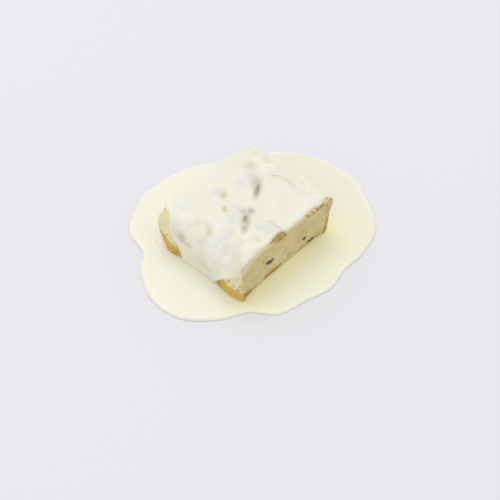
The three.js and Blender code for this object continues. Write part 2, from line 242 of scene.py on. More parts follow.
class STRUDEL_PG_sauce(bpy.types.PropertyGroup):
    """The sauce on and round the slice."""

    coat: length_setting("Coat", "Thickness of the sauce on the slice", 1.3)
    lip: length_setting("Lip", "Width over which the sauce's edge thickens", 2.2)
    depth: length_setting("Pool", "Depth of the pool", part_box("sauce_pool")[1].z / MM)
    edge: length_setting("Edge", "Width of the pool's rounded edge", 3.2)
    white: colour_setting("White", "Sauce on the slice", srgb(237, 234, 215))
    cream: colour_setting("Cream", "Sauce in the pool", srgb(246, 241, 221))
    # Painted shade: the yellowish shade of the pool beside the shown cut, which also colours the
    # drop of butter
    custard_shade_and_drop: colour_setting("Custard", "Sauce beside the shown cut", srgb(254, 244, 191))
    film: colour_setting("Film", "Sauce so thin that pastry shows through", srgb(236, 231, 211))
    # Painted shade of the sauce: its hollows, the folds below its ridges and its darker grey
    # patches
    shade: colour_setting("Shade", "Hollows and thin places of the sauce", srgb(222, 217, 195))
    # Painted shade: cool grey patches round the lumps and grey spots of the sauce
    lilac_shade: colour_setting("Lilac", "Cooler sauce round the raisins", srgb(225, 223, 218))
    butter: colour_setting("Butter", "Curd and butter under the sauce", srgb(212, 203, 158))
    # Darker grey-olive spots on the sauce over its lumps, and their darkest middles
    grey_spot: colour_setting("Veil", "Raisins seen through the sauce", srgb(200, 194, 174))
    grey_spot_core: colour_setting("Core", "Darkest place of a covered raisin", srgb(158, 151, 126))


class STRUDEL_PG_stage(bpy.types.PropertyGroup):
    """Floor, light and camera."""

    floor: colour_setting("Floor", "The pale floor", srgb(229, 227, 230))
    key: FloatProperty(name="Key light", description="Soft light from high behind", default=5.6)
    sky: FloatProperty(name="Sky", description="Even light from all round", default=0.98)


# Making of meshes


def add_object(name, data):
    """Puts an object into the scene."""
    thing = bpy.data.objects.new(name, data)
    bpy.context.scene.collection.objects.link(thing)
    return thing


def add_mesh(name, bm, material):
    """Puts a bmesh into the scene with its material, and frees it."""
    mesh = bpy.data.meshes.new(name)
    bm.to_mesh(mesh)
    bm.free()
    mesh.materials.append(material)
    return add_object(name, mesh)


def finish_mesh(bm, name, material, nodes):
    """Turns a bmesh in millimetres into a smooth piece in metres that stands for CAD nodes."""
    bmesh.ops.scale(bm, vec=(MM, MM, MM), verts=bm.verts[:])
    for face in bm.faces:
        face.smooth = True
    piece = add_mesh(name, bm, material)
    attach(piece, "root")
    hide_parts(*nodes)


def boundary(bm):
    return [edge for edge in bm.edges if edge.is_boundary]


def join(bm, other):
    """Adds another bmesh to a bmesh and frees it."""
    spare = bpy.data.meshes.new("spare")
    other.to_mesh(spare)
    other.free()
    bm.from_mesh(spare)
    bpy.data.meshes.remove(spare)


def flat_grid(columns, rows, size=1.0):
    """A flat grid that reaches as far as its size on each side of its middle."""
    bm = bmesh.new()
    bmesh.ops.create_grid(bm, x_segments=columns, y_segments=rows, size=size)
    return bm


def sheet_grid(columns, rows):
    """A flat grid over 0 to 1 in x and y."""
    bm = flat_grid(columns, rows, 0.5)
    bmesh.ops.translate(bm, verts=bm.verts[:], vec=(0.5, 0.5, 0))
    return bm


def face_along(bm, way):
    """Turns all faces of a surface alike, the first of them along the given way."""
    bmesh.ops.recalc_face_normals(bm, faces=bm.faces[:])
    if bm.faces[:][0].normal.dot(way) < 0:
        bmesh.ops.reverse_faces(bm, faces=bm.faces[:])


def add_layers(bm, *names):
    """New values on the points of a bmesh, which its material reads by their names."""
    return [bm.verts.layers.float.new(name) for name in names]


def square_bearing(t):
    """A point of the edge of the square from -1 to 1, for t from 0 to 1 once round."""
    side = (t % 1.0) * 4
    step = side % 1.0 * 2 - 1
    corner = int(side) % 4
    return ((1, step), (-step, 1), (-1, -step), (step, -1))[corner]


# Pastry

# Where the pastry is golden: height of the golden band's upper edge along each baked side
NEAR_GOLD = (
    (-38, 16), (-34, 14.5), (-29, 12.5), (-15, 11.5), (10, 12), (20, 13.5), (30, 12.5), (38, 12),
)
FAR_GOLD = ((-38, 8), (-20, 12), (0, 8), (14, 13), (28, 9), (38, 12))
# Toasted places of the rim and skin: place on the plain block, reach and strength
TOASTS = (
    ((34.6, -11.8, 30.5), 2.2, 0.7),
    ((34.6, -8.6, 30.5), 2.6, 0.9),
    ((34.4, -4.6, 30.5), 3.2, 1.0),
    ((35.0, -0.8, 30.5), 2.6, 1.0),
    ((36.0, -5.0, 29.0), 3.4, 0.9),
    ((36.4, 0.0, 29.4), 2.4, 0.9),
    ((36.0, 22.6, 30.5), 1.6, 0.8),
    ((36.2, 26.6, 30.0), 2.0, 0.8),
    ((36.0, 31.0, 30.0), 2.2, 0.9),
    ((36.0, 35.0, 30.5), 2.4, 0.85),
    ((34.6, 39.0, 30.4), 1.5, 0.55),
    ((36.4, 43.2, 28.5), 2.0, 0.45),
    ((36.4, 43.0, 23.0), 2.2, 0.45),
    ((36.4, 43.0, 11.0), 2.6, 0.55),
    ((36.4, 41.6, 4.0), 3.4, 0.75),
    ((18.5, -43, 6.0), 3.0, 0.8),
    ((27.6, -43, 16.6), 1.5, 0.75),
    ((26.0, -43, 13.8), 1.2, 0.7),
    ((31.0, -43, 15.0), 1.0, 0.6),
    ((35.6, -43, 19.6), 1.6, 0.7),
    ((34.0, -43, 14.0), 1.6, 0.65),
    ((35.8, -43, 16.0), 1.4, 0.6),
    ((36.4, -41.0, 0.6), 5.0, 0.7),
    ((-36.4, -43, 14.0), 1.5, 0.6),
    ((-33.6, -43, 18.4), 1.2, 0.6),
    ((-31.0, -43, 17.8), 1.2, 0.6),
    ((-28.0, -43, 16.8), 1.2, 0.6),
    ((-24.5, -43, 16.0), 1.3, 0.5),
    ((-33.5, -43, 9.0), 1.8, 0.6),
    ((-29.0, -43, 5.0), 3.6, 0.4),
    ((-21.0, -43, 4.6), 4.6, 0.6),
)
# Blisters, laps and lifted lips of the sheets: place on the plain block, reach and push
LIPS = (
    ((34.5, 41.0, 30.5), 3.6, (0.4, 0.6, 4.6)),
    ((37, 43, 30.5), 3.0, (0.8, 0.9, 1.0)),
    ((36.0, -4.5, 30.5), 5.0, (0.5, 0.0, 1.0)),
    ((36.5, 29, 30.5), 5.0, (0.5, 0.0, 0.6)),
    ((33, -43, 17), 3.4, (0.0, -0.6, 0.0)),
    ((26, -43, 12), 3.0, (0.0, -0.5, 0.0)),
    ((36.5, -43, 5), 4.0, (0.3, -0.4, 0.0)),
    ((-33, -43, 17), 3.6, (0.0, -0.5, 0.0)),
    ((-22, -43, 9), 4.4, (0.0, -0.6, 0.0)),
    ((-4, 43, 12), 6.0, (0.0, 0.7, 0.0)),
    ((24, 43, 18), 5.0, (0.0, 0.6, 0.0)),
    ((-20, 43, 15), 5.0, (0.0, 0.5, 0.0)),
)


# All sheets of dough together, and the gap between two of them
PASTRY_THICKNESS = 2.2
SHEET_GAP = 0.12
OUTER_FACES = (280, 90)
INNER_FACES = (150, 24)


def lip_push(point):
    """How the lips of the dough push a point of its sheets."""
    push = Vector((0, 0, 0))
    for place, reach, way in LIPS:
        gap = (point - Vector(place)).length
        if gap < 2.2 * reach:
            push += Vector(way) * bell(gap, reach)
    return push


def pastry_wrinkles(point, depth):
    """How far the baked skin moves in or out at a point, mostly in along its cracks."""
    stretched = Vector((point.x * 0.4, point.y, point.z))
    broad = ripple(stretched, 7.0, 3.0)
    fine = ripple(stretched, 2.2, 5.0)
    crackle = max(1 - abs(ripple(stretched, 4.2, 8.0)) * 2.4, 0)
    return depth * (0.5 * broad + 0.3 * fine - 0.8 * crackle**3 - 0.15)


def pastry_bake(point):
    """How golden the pastry is, how toasted, and how much quark clings to it, from 0 to 1."""
    line = along(FAR_GOLD if point.y > 0 else NEAR_GOLD, point.x)
    spread = 1 if point.y < 0 else 2.4
    line += spread * (1.5 * ripple(point, 6.0, 13.0) + 0.8 * ripple(point, 2.2, 15.0))
    gold = 1 - ramp(point.z, line - 2.0 - spread, line + 1.6 * spread)
    gold = max(gold, 0.5 * ramp(ripple(point, 4.6, 31.0), 0.15, 0.7))
    rim = ramp(point.x, SHOWN_CUT - 1.2, SHOWN_CUT + 0.2)
    rim *= 1 - 0.8 * ramp(point.z, 6, 11) * ramp(-point.y, 38, 42)
    rim *= 1 - 0.7 * ramp(point.z, 24, 28) * ramp(point.y, 36, 40)
    gold = max(gold, 0.85 * rim * (0.6 + 0.4 * ripple(point, 3.0, 19.0)))
    curd = ramp(point.x, SHOWN_CUT - 5, SHOWN_CUT - 1.5) * ramp(point.z, 26, 29)
    curd *= 1 - ramp(point.y, 36, 40)
    toast = 0.25 * ramp(ripple(point, 2.4, 21.0), 0.25, 0.6)
    for place, reach, strength in TOASTS:
        gap = (point - Vector(place)).length
        if gap < 2 * reach:
            toast = max(toast, strength * bell(gap * (1 + 0.2 * ripple(point, 1.6, reach)), reach))
    return gold, toast, curd


def pastry_sheet(inset, thickness, faces, depth, ragged, seed):
    """One closed sheet of dough round the slice, with ragged ends at both cuts."""
    around, lengthwise = faces
    bm = sheet_grid(lengthwise, around)
    gold, toast, curd = add_layers(bm, "gold", "toast", "curd")
    for vert in bm.verts:
        across, up = square_bearing(vert.co.y)
        end = vert.co.x * 2 - 1
        place = (across * HALF_WIDTH, up * 15)
        front = PASTRY_FRONT + ragged * ripple((9, *place), 3.0, seed)
        back = PASTRY_BACK + ragged * ripple((0, *place), 3.0, seed)
        point, out = block_point(end, across, up, inset, back, front)
        vert[gold], vert[toast], vert[curd] = pastry_bake(point)
        push = pastry_wrinkles(point, depth) * ramp(point.z, 0.3, 3.0)
        vert.co = sag(*(point + out * push + lip_push(point)))
    bmesh.ops.remove_doubles(bm, verts=bm.verts[:], dist=1e-3)
    middle = Vector((0, 0, HEIGHT / 2))
    face_along(bm, bm.faces[:][0].calc_center_median() - middle)
    bmesh.ops.solidify(bm, geom=bm.faces[:], thickness=thickness)
    return bm


def build_pastry(context):
    """Three sheets of baked dough, one inside the other."""
    settings = context.scene.strudel_pastry
    outer = settings.sheet / MM
    inner = (PASTRY_THICKNESS - outer) / 2 - SHEET_GAP
    second = outer + SHEET_GAP
    third = second + inner + SHEET_GAP
    bm = pastry_sheet(0.0, outer, OUTER_FACES, settings.wrinkle / MM, 0.35, 1.0)
    join(bm, pastry_sheet(second, inner, INNER_FACES, 0.2, 0.55, 4.0))
    join(bm, pastry_sheet(third, inner, INNER_FACES, 0.15, 0.75, 7.0))
    finish_mesh(bm, "baked_pastry", pastry_material(settings), ["pastry"])


# Filling and raisins

RAISINS = (
    {"node": "raisin_middle", "y": -13.4, "z": 14.8, "long": 4.3, "wide": 2.1, "tilt": -8},
    {"node": "raisin_low", "y": 26.0, "z": 5.0, "long": 3.4, "wide": 1.4, "tilt": 8},
    {"node": "raisin_small", "y": 19.4, "z": 11.2, "long": 1.9, "wide": 1.4, "tilt": 30},
)
# How far a raisin stands out of the cut, how deep it is for its width and how deep its nest is
RAISIN_OUT = 0.75
RAISIN_DEPTH = 0.9
NEST_DEPTH = 1.2
NEST_OVERLAP = 0.2
FILLING_INSET = 2.3
CUT_GRID = (210, 74)
# How often the block of quark is divided along the roll
FILLING_CUTS = 7


def curd_height(y, z):
    """Lumps and holes of the cut quark, from about -1 to 1."""
    lumps = 0.5 - noise.voronoi(Vector((0.0, y, z)) / 3.4)[0][0] * 1.15
    grains = 0.4 - noise.voronoi(Vector((7.0, y, z)) / 1.5)[0][0]
    broad = ripple((0, y, z), 9.0, 2.0)
    holes = max(ripple((0, y, z), 2.0, 6.0) - 0.3, 0) * -1.6
    return lumps + 0.5 * grains + 0.5 * broad + holes


def raisin_nest(y, z):
    """How far the quark is pressed in where a raisin lies in it."""
    press = 0.0
    for raisin in RAISINS:
        lengthwise, over = turned(y - raisin["y"], z - raisin["z"], -raisin["tilt"])
        lengthwise /= raisin["long"] - NEST_OVERLAP
        over /= raisin["wide"] - NEST_OVERLAP
        press += NEST_DEPTH * max(1 - math.hypot(lengthwise, over) ** 2, 0)
    return press


# Browned marks on the cut: two ends as y and z, half width and strength
CUT_MARKS = (
    ((-39.6, 24.6), (-38.4, 24.0), 1.2, 0.9),
    ((-37.6, 24.2), (-28.6, 20.0), 0.5, 0.55),
    ((-18.2, 3.9), (-4.2, 4.3), 1.8, 1.0),
    ((-43.0, 3.6), (-38.0, 4.2), 4.2, 1.1),
    ((-39.0, 4.0), (-33.6, 4.6), 2.4, 1.1),
    ((16.0, 4.4), (37.0, 4.2), 0.9, 0.8),
    ((-32.0, 3.6), (-19.0, 3.8), 0.6, 0.5),
    ((-20.6, 20.4), (-19.0, 18.6), 0.9, 0.6),
    ((-8.6, 16.6), (-6.8, 17.6), 0.6, 0.5),
    ((14.6, 13.0), (15.4, 12.2), 0.6, 0.45),
    ((2.0, 9.0), (5.0, 10.2), 0.5, 0.35),
    ((30.0, 14.0), (31.0, 16.0), 0.6, 0.35),
)


def cut_toast(y, z):
    """How browned the cut is at a place."""
    strongest = 0.0
    for (y0, z0), (y1, z1), wide, strength in CUT_MARKS:
        length = math.hypot(y1 - y0, z1 - z0)
        part = clamp(((y - y0) * (y1 - y0) + (z - z0) * (z1 - z0)) / length**2, 0, 1)
        gap = math.hypot(y - lerp(y0, y1, part), z - lerp(z0, z1, part))
        gap *= 1 + 0.5 * ripple((0, y, z), 1.6, 23.0)
        strongest = max(strongest, strength * bell(gap, wide))
    return strongest


def build_filling(context):
    """The block of quark: finely gridded cuts joined along the roll."""
    settings = context.scene.strudel_pastry
    crumb = settings.crumb / MM
    bm = flat_grid(*CUT_GRID)
    pit_shade, toast = add_layers(bm, "pit_shade", "toast")
    for vert in bm.verts:
        vert.co = (1.0, vert.co.x, vert.co.y)
    face_along(bm, Vector((1, 0, 0)))
    copy = bmesh.ops.duplicate(bm, geom=bm.faces[:])["geom"]
    hidden = [item for item in copy if isinstance(item, bmesh.types.BMFace)]
    bmesh.ops.reverse_faces(bm, faces=hidden)
    for vert in {vert for face in hidden for vert in face.verts}:
        vert.co.x = -1.0
    bmesh.ops.bridge_loops(bm, edges=boundary(bm))
    long_edges = [edge for edge in bm.edges if abs(edge.verts[0].co.x - edge.verts[1].co.x) > 1]
    bmesh.ops.subdivide_edges(bm, edges=long_edges, cuts=FILLING_CUTS)
    for vert in bm.verts:
        end, across, up = vert.co
        point, _ = block_point(end, across, up, FILLING_INSET)
        by_cut = ramp(end, 0.9, 1.0)
        if by_cut > 0:
            inner = 1 - ramp(max(abs(across), abs(up)), 0.94, 1.0)
            browned = cut_toast(point.y, point.z)
            curds = curd_height(point.y, point.z) * (0.35 + 0.65 * inner)
            relief = crumb * (curds - 0.4 * browned)
            point.x += by_cut * (relief - raisin_nest(point.y, point.z))
            # Painted shade: the quark is darker where its relief is lowest, in its pits
            vert[pit_shade] = 1 - ramp(relief, -0.9 * crumb, 0.2 * crumb)
            vert[toast] = browned
        vert.co = sag(*point)
    finish_mesh(bm, "quark_block", quark_material(settings), ["quark_filling"])


def build_raisin(raisin, material):
    """A shrivelled raisin that the knife uncovered."""
    bm = bmesh.new()
    bmesh.ops.create_icosphere(bm, subdivisions=5, radius=1.0)
    wide = raisin["wide"]
    seed = raisin["y"]
    middle = sag(SHOWN_CUT, raisin["y"], raisin["z"]).x - wide * RAISIN_DEPTH + RAISIN_OUT
    for vert in bm.verts:
        way = vert.co.normalized()
        folds = 1 - abs(ripple((way.x * 1.3, way.y * 0.55, way.z * 1.3), 0.3, seed)) * 2.6
        dents = ripple(way, 0.7, seed + 3)
        swell = 1 - 0.24 * max(folds, 0) ** 1.5 + 0.2 * dents
        x = middle + way.x * wide * RAISIN_DEPTH * swell
        lengthwise = way.y * raisin["long"] * (0.94 + 0.06 * swell)
        y, z = turned(lengthwise, way.z * wide * swell, raisin["tilt"])
        vert.co = (x, raisin["y"] + y, raisin["z"] + z)
    finish_mesh(bm, raisin["node"] + "_fruit", material, [raisin["node"]])


# Sauce on the slice

# How far the sauce runs down from the top edge, along each side of the plain block: place along
# the side and run. A negative run leaves the rim of the top bare.
NEAR_SIDE_RUN = (
    (-38, -6.0), (-32.6, -4.6), (-29.6, -2.0), (-28.3, 1.2), (-27, 4.8), (-25.4, 8.6), (-23.6, 12),
    (-21.5, 14.4), (-18.8, 17.4), (-16.6, 21), (-14.9, 27), (-13.2, 34), (13, 34), (14.8, 30),
    (17, 26), (20, 21.5), (24, 16), (28.3, 10.6), (31.5, 6.4), (34, 2.4), (36, -1.6),
)
SHOWN_CUT_RUN = (
    (-43, -3.6), (-40, -3.2), (-36, -2.4), (-30, -2.2), (-24, -2.0), (-18, -1.7), (-14, -1.6),
    (-11, -2.0), (-8, -2.6), (-5, -3.0), (-2, -3.6), (0, -3.0), (2, -1.5), (6, -1.0), (12, -1.2),
    (18, -1.2), (22, -2.2), (26, -2.6), (31, -2.3), (35, -1.2), (38, -1.0), (40.5, -2.2),
    (43, -4.0),
)
FAR_SIDE_RUN = (
    (-38, 34), (-32.5, 34), (-30.5, 31), (-29, 22), (-27, 13), (-24, 8), (-19, 5), (-14, 7),
    (-11.6, 13), (-10.6, 17.5), (-8.8, 18), (-7.4, 14), (-5, 8), (0, 6), (5, 9), (8, 15),
    (9.4, 25), (10.2, 34), (14.4, 34), (15.4, 27), (16.8, 14), (20, 8), (24, 8), (26.4, 11.5),
    (28, 11), (30, 6), (33, 1), (36, -3.6),
)
HIDDEN_CUT_RUN = (
    (-43, -4.0), (-40, -3.0), (-37, -0.6), (-34.5, 2.6), (-32, 7), (-29.5, 12.4), (-27, 17.6),
    (-24, 23), (-20, 29), (-16, 34), (43, 34),
)

# Ridges that the folded pastry makes in the sauce: points, height, width and strength of the
# painted shade in the fold below the ridge.
# The line of the ridge along the far rim comes first.
FAR_PLEAT = ((-29, 40.0), (-22, 41.4), (-15, 42.6), (-8, 43.2), (0, 43.2), (8, 42.6), (20, 41))
PLEATS = (
    (FAR_PLEAT, 2.5, 1.0, 0.4),
    (((-8, 31.2), (-2.1, 34.0), (4, 35.2), (11.3, 35.2), (18, 33.4)), 2.3, 1.0, 0.4),
    (((-9, 36.0), (-2, 38.0), (4, 39.4), (13, 39.6)), 1.2, 1.0, 0.3),
    (((19.0, -0.6), (24, 1.5), (28, 1.6), (36, 1.2)), 1.5, 1.0, 0.7),
)
# Lumps in and under the sauce: place on the plain block, height and reach
LUMPS = (
    ((-5.0, 17.0, 30), 1.6, 3.6),
    ((-10.0, 20.0, 30), 1.0, 3.2),
    ((-1.0, 13.4, 30), 0.9, 2.8),
    ((10.4, -9.6, 30), 1.5, 3.4),
    ((14.4, -14.0, 30), 0.8, 2.8),
    ((5.6, -3.4, 30), 0.9, 2.8),
    ((-15.3, -4.2, 30), 0.7, 2.4),
    ((-6.0, -12.8, 30), 0.7, 2.2),
    ((23.6, -6.0, 30), 0.5, 6.0),
    ((-13.5, -26.5, 30), 1.0, 5.0),
    ((19.1, -23.8, 30), 0.9, 4.6),
    ((27.7, -25.8, 30), 0.7, 4.0),
    ((-22.5, 30, 30), -0.9, 5.0),
    ((-2.0, -30.0, 30), -0.6, 3.0),
    ((22.8, -33.0, 30), -0.6, 3.2),
    ((18.4, -33.6, 30), -0.4, 2.8),
    ((11.5, -43, 18.5), 2.4, 4.4),
    ((18, -41, 24), 1.2, 3.6),
    ((26.5, -39, 28), 1.3, 3.8),
    ((32, -35, 30), 0.9, 3.6),
    ((2, -43, 21), 0.9, 4.4),
    ((-8, -43, 22), 0.7, 4.6),
    ((12.5, 39.8, 30), 1.0, 1.9),
    ((17.6, 37.0, 30), 1.1, 2.2),
    ((20.4, 41.0, 30), 0.9, 1.8),
    ((24.6, 42.0, 29), 0.9, 1.9),
    ((28.0, 37.6, 30), 0.8, 2.0),
    ((31.2, 34.0, 30), 0.6, 1.8),
)
# Tints of the sauce, some of them painted shade: place on the plain block, half length, half
# width, turn in degrees, strength
# Darker grey-olive spots over the lumps; the one at x -14.2 on the near side is painted shade of a
# dent below its top edge
GREY_SPOTS = (
    ((-6.2, 18.2, 30), 10.5, 6.2, -42, 0.95),
    ((-1.9, 14.2, 30), 10.6, 3.4, -56, 1.6),
    ((-23.4, 29.8, 30), 5.0, 4.0, 0, 0.4),
    ((10.3, -9.2, 30), 10.5, 5.0, -52, 1.0),
    ((10.1, -9.4, 30), 7.0, 3.2, -54, 1.7),
    ((4.6, -5.4, 30), 5.6, 4.6, 0, 0.8),
    ((7.6, -1.8, 30), 4.6, 4.0, 0, 1.05),
    ((15.2, -15.4, 30), 6.0, 4.2, -54, 0.95),
    ((-14.2, -43, 23.6), 6.4, 5.6, 0, 1.05),
    ((-8.3, -43, 21.0), 6.0, 4.5, 0, 0.6),
)
BUTTERS = (
    ((-15.3, -4.2, 30), 5.4, 3.0, -45, 1.0),
    ((-6.0, -12.8, 30), 4.2, 2.4, -45, 1.15),
    ((0.0, -33.0, 30), 4.6, 3.0, -45, 1.0),
)
# Darker grey patches of the sauce: painted shade, and thinner sauce over the pastry
SHADES = (
    ((25.6, -34.6, 30), 7.4, 5.4, -45, 1.1),
    ((34.0, -38.0, 28), 7.0, 6.0, -45, 0.8),
    ((-21.4, 27.8, 30), 7.6, 6.0, 20, 1.0),
    ((-31.0, 37.0, 29), 7.0, 5.0, 30, 0.6),
    ((-15.0, 23.0, 30), 7.0, 5.0, -20, 0.8),
    ((-18.6, -3.0, 30), 6.0, 4.4, -45, 0.6),
    ((-22.0, -42.0, 27), 9.0, 7.0, 0, 0.6),
    ((5.0, -43.0, 11), 11.0, 6.0, 0, 0.7),
    ((18.0, -43.0, 18.5), 6.0, 5.0, 0, 0.4),
    ((-6.0, -36.0, 30), 8.0, 4.0, -20, 0.5),
    ((15.6, -27.6, 30), 6.0, 4.5, -45, 0.4),
)
# Painted shade in cool grey round the lumps and grey spots of the sauce
LILAC_SHADES = (
    ((-13.4, 18.8, 30), 6.4, 5.4, -40, 1.2),
    ((-19.6, -5.0, 30), 5.2, 4.6, 0, 1.2),
    ((-14.0, 12.4, 30), 6.5, 6.0, -30, 1.0),
    ((4.0, -14.2, 30), 9.0, 7.0, -30, 1.0),
    ((-1.2, -6.0, 30), 8.0, 5.0, 30, 0.8),
    ((24.0, -6.6, 30), 8.4, 6.0, 10, 0.9),
    ((11.2, -32.0, 30), 9.0, 8.0, -45, 0.9),
    ((17.0, -39.5, 28), 8.0, 6.0, 0, 0.7),
    ((-22.4, -25.6, 30), 14.0, 12.0, 0, 0.35),
    ((3.5, -41.5, 29), 7.0, 5.0, 0, 0.5),
)
# How many runs are kept round the slice, and how far each is blended with its neighbours
RUN_STEPS = 1200
RUN_BLEND = 9
RUN_REACH = 4.5
LONGEST_RUN = HEIGHT - 0.6
# Share of the square of coat_base that lies on the top
TOP_SHARE = 0.56
# Least width of the rest at the edge of the sauce, and how softly wider runs take over
EDGE_BAND = 5
EDGE_BAND_SOFTNESS = 4
COAT_GRID = (236, 262)
UNDER_GRID = (140, 156)
# How far the edge and the under skin of the sauce are sunk in the slice
EDGE_SUNK = 0.7
UNDER_SUNK = 1.0
# Steps along the edge of the sauce, and the height below which the pool hides it
EDGE_STEPS = 12000
HIDDEN_EDGE = 1.4
EDGE_BEAD = 0.35
FILM_THICKNESS = 0.45
LEAST_THICKNESS = 0.35
# The sauce's hollow foot on the pool: its level, width and the height over which it fades
FOOT_LEVEL = 2.4
FILLET = 4.6
FILLET_FADE = 1.7
# Share of the lumps that is left where the sauce is smoothest
LEAST_LUMPS = 0.3


def raw_run(a, b):
    """How far the sauce runs past the slice's top edge on a bearing of the square."""
    x = a * SHOWN_CUT if a > 0 else -a * HIDDEN_CUT
    if abs(a) > abs(b):
        run = along(SHOWN_CUT_RUN if a > 0 else HIDDEN_CUT_RUN, b * HALF_WIDTH)
    else:
        run = along(FAR_SIDE_RUN if b > 0 else NEAR_SIDE_RUN, x)
    return min(run, LONGEST_RUN)


def smooth_runs():
    """The runs at even steps round the square, each blended with its neighbours."""
    runs = [raw_run(*square_bearing(i / RUN_STEPS)) for i in range(RUN_STEPS)]
    weights = {k: bell(k, RUN_REACH) for k in range(-RUN_BLEND, RUN_BLEND + 1)}
    whole = sum(weights.values())
    return [
        sum(runs[(i + k) % RUN_STEPS] * weight for k, weight in weights.items()) / whole
        for i in range(RUN_STEPS)
    ]


RUNS = smooth_runs()


def square_turn(a, b):
    """The inverse of square_bearing."""
    if a >= abs(b):
        return (b + 1) / 8
    if b >= abs(a):
        return 0.25 + (1 - a) / 8
    if -a >= abs(b):
        return 0.5 + (1 - b) / 8
    return 0.75 + (a + 1) / 8


def sauce_run(a, b):
    """How far the sauce runs on a bearing of the square, with a small waver of its edge."""
    place = square_turn(a, b) * RUN_STEPS
    low = int(place)
    run = lerp(RUNS[low % RUN_STEPS], RUNS[(low + 1) % RUN_STEPS], place - low)
    edge = (-a * HIDDEN_CUT, b * HALF_WIDTH, 0)
    waver = 0.45 * ripple(edge, 3.2, 6.0) + 0.25 * ripple(edge, 1.4, 2.0)
    return min(run + waver, LONGEST_RUN)


def coat_base(u, v):
    """A point of the plain block under the sauce, and the way out of the sauce there.

    u and v run over a square from -1 to 1: its middle is the middle of the top, and its edge is
    the edge of the sauce. The inner share of the square keeps to the top, so that the runs down
    the sides don't drag the surface there.
    """
    share = max(abs(u), abs(v))
    a, b = (u / share, v / share) if share > 0 else (1, 0)
    run = sauce_run(a, b)
    reach = math.hypot(a * SHOWN_CUT, b * HALF_WIDTH)
    spare = EDGE_BAND - run
    rim = -0.5 * (spare + math.hypot(spare, EDGE_BAND_SOFTNESS))
    if share < TOP_SHARE:
        distance = lerp(-reach, rim, share / TOP_SHARE)
    else:
        distance = lerp(rim, run, (share - TOP_SHARE) / (1 - TOP_SHARE))
    t = clamp(1 + distance / reach, 0, 1)
    # Close to the near edge, left of its middle, the lines of the square run straight at it
    straight = ramp(t, 0.6, 0.95) * (1 - ramp(-a, 0.8, 1)) if b < a < 0 else 0
    down = clamp(distance, 0, HEIGHT)
    end = a * lerp(t, 1, straight)
    up = 1 - 2 * down / HEIGHT
    base, out = block_point(end, b * t, up, 0.0, PASTRY_BACK, PASTRY_FRONT)
    face_x = math.copysign(ramp(abs(a), 0.86, 1), a)
    face_y = ramp(abs(b), 0.86, 1)
    turn = ramp(distance, -2, 2)
    keep = 1 - turn * abs(face_x) * (1 - face_y)
    rise = out.z * keep * ramp(base.z, 1, 7)
    way = Vector((face_x * turn, out.y * keep, rise)).normalized()
    return base, way


def pleats(point):
    """The thin ridges, steep on their near flank, and the painted shade in the fold below it, from
    0 to 1.
    """
    relief = 0.0
    crease_shade = 0.0
    for line, height, width, shade_strength in PLEATS:
        first = line[0][0]
        last = line[-1][0]
        if first < point.x < last:
            waver = 0.4 * ripple((point.x, 0, 0), 5, height)
            gap = point.y - along(line, point.x) - waver
            ends = ramp(point.x, first, first + 4) * (1 - ramp(point.x, last - 6, last))
            relief += height * ends * bell(gap, width * (1.9 if gap > 0 else 0.6))
            # Painted shade in the fold below the ridge's near flank
            crease_shade = max(crease_shade, ends * shade_strength * bell(gap + 1.3 * width, 0.5 * width))
    return relief, crease_shade


def coat_relief(point):
    """Lumps, folds and flow of the sauce's surface on the plain block."""
    relief = 0.4 * ripple(point, 14.0, 1.0)
    lumpy = ramp(point.x - point.y, -25, 45) * (1 - 0.6 * ramp(point.x + point.y, 10, 50))
    lumpy = max(lumpy, ramp(point.y, 34, 39), LEAST_LUMPS)
    relief += lumpy * (1.1 * ripple(point, 7.0, 4.0) + 0.6 * ripple(point, 3.8, 9.0))
    relief += 0.09 * ripple(point, 1.8, 5.0) * lumpy
    for place, height, reach in LUMPS:
        gap = (point - Vector(place)).length
        if gap < 2.5 * reach:
            wobble = 1 + 0.25 * ripple(point, 3.5, height)
            relief += height * bell(gap * wobble, reach)
    down = 1 - ramp(point.z, HEIGHT - 12, HEIGHT - 3)
    flow = ripple((point.x, point.y, 0.2 * point.z), 4.6, 7.0)
    flow += 0.8 * ripple((point.x, point.y, 0.3 * point.z), 10.0, 3.0)
    return relief + 0.6 * flow * down


# Upper edge of the film that the sauce has thinned to on the near side
FILM_TOP = ((-16, 22), (0, 23), (6, 22.5), (9, 20), (12, 15), (15, 10.5), (20, 4))


def film(point):
    """How far the sauce has thinned to a film, low on the near side."""
    low = 1 - ramp(point.z - along(FILM_TOP, point.x), -5, 4)
    near = ramp(-point.y, 36, 42)
    return low * near * (1 - ramp(point.x, 16, 22))


def tint(point, patches):
    """How strongly the strongest of the patches of colour covers a point."""
    strongest = 0.0
    waver = Vector((ripple(point, 3.0, 11.0), ripple(point, 3.0, 17.0), 0.0)) * 0.9
    for place, long, wide, turn, strength in patches:
        offset = point + waver - Vector(place)
        if offset.length > 1.5 * max(long, wide):
            continue
        across, over = turned(offset.x, offset.y, -turn)
        gap = math.hypot(across / long, math.hypot(over, offset.z) / wide)
        strongest = max(strongest, strength * (1 - ramp(gap, 0.0, 1.25)))
    return strongest


def free_edge_tree():
    """The edge of the sauce where it lies bare, to measure distances to it."""
    edge = [coat_base(*square_bearing(i / EDGE_STEPS))[0] for i in range(EDGE_STEPS)]
    bare = [point for point in edge if point.z > HIDDEN_EDGE]
    tree = kdtree.KDTree(len(bare))
    for i, point in enumerate(bare):
        tree.insert(point, i)
    tree.balance()
    return tree


